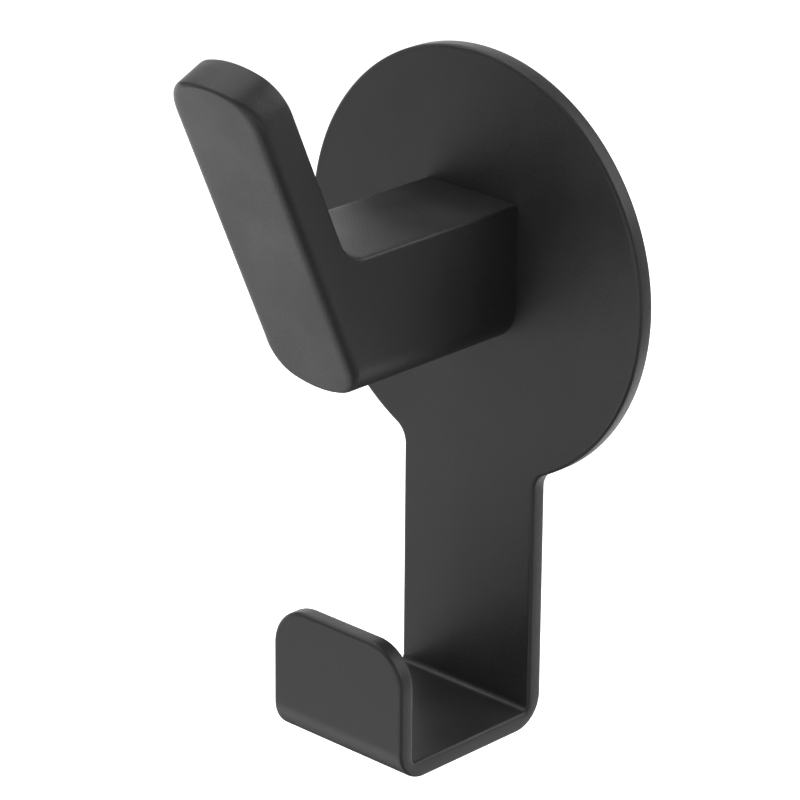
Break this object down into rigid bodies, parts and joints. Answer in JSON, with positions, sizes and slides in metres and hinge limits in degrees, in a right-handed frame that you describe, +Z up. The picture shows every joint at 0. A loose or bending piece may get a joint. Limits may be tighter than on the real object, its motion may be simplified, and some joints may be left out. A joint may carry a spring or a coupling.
{
  "type": "headphone hook",
  "caption": "Two-tier wall hook: a leaning paddle on a short arm holds a headband, and a bent J hook below it holds the cable.",
  "frame": {"origin": "centre of the adhesive pad's wall face, level with the centre of the round plate", "axes": "+Y into the wall, +Z up, and +X to the right of a person who faces the wall; the hooks reach towards -Y"},
  "size_m": [0.06, 0.0525, 0.1028],
  "materials": {
    "plate_coat": "matte black powder coat on bent steel sheet",
    "hook_coat": "matte black powder coat on a cast hook",
    "screw_steel": "zinc-plated countersunk socket screw",
    "pad_foam": "black acrylic foam tape"
  },
  "bodies": {
    "root": {"hanger_plate": "plate_coat", "upper_hook": "hook_coat", "hook_screws": "screw_steel", "adhesive_pad": "pad_foam"}
  },
  "joints": []
}
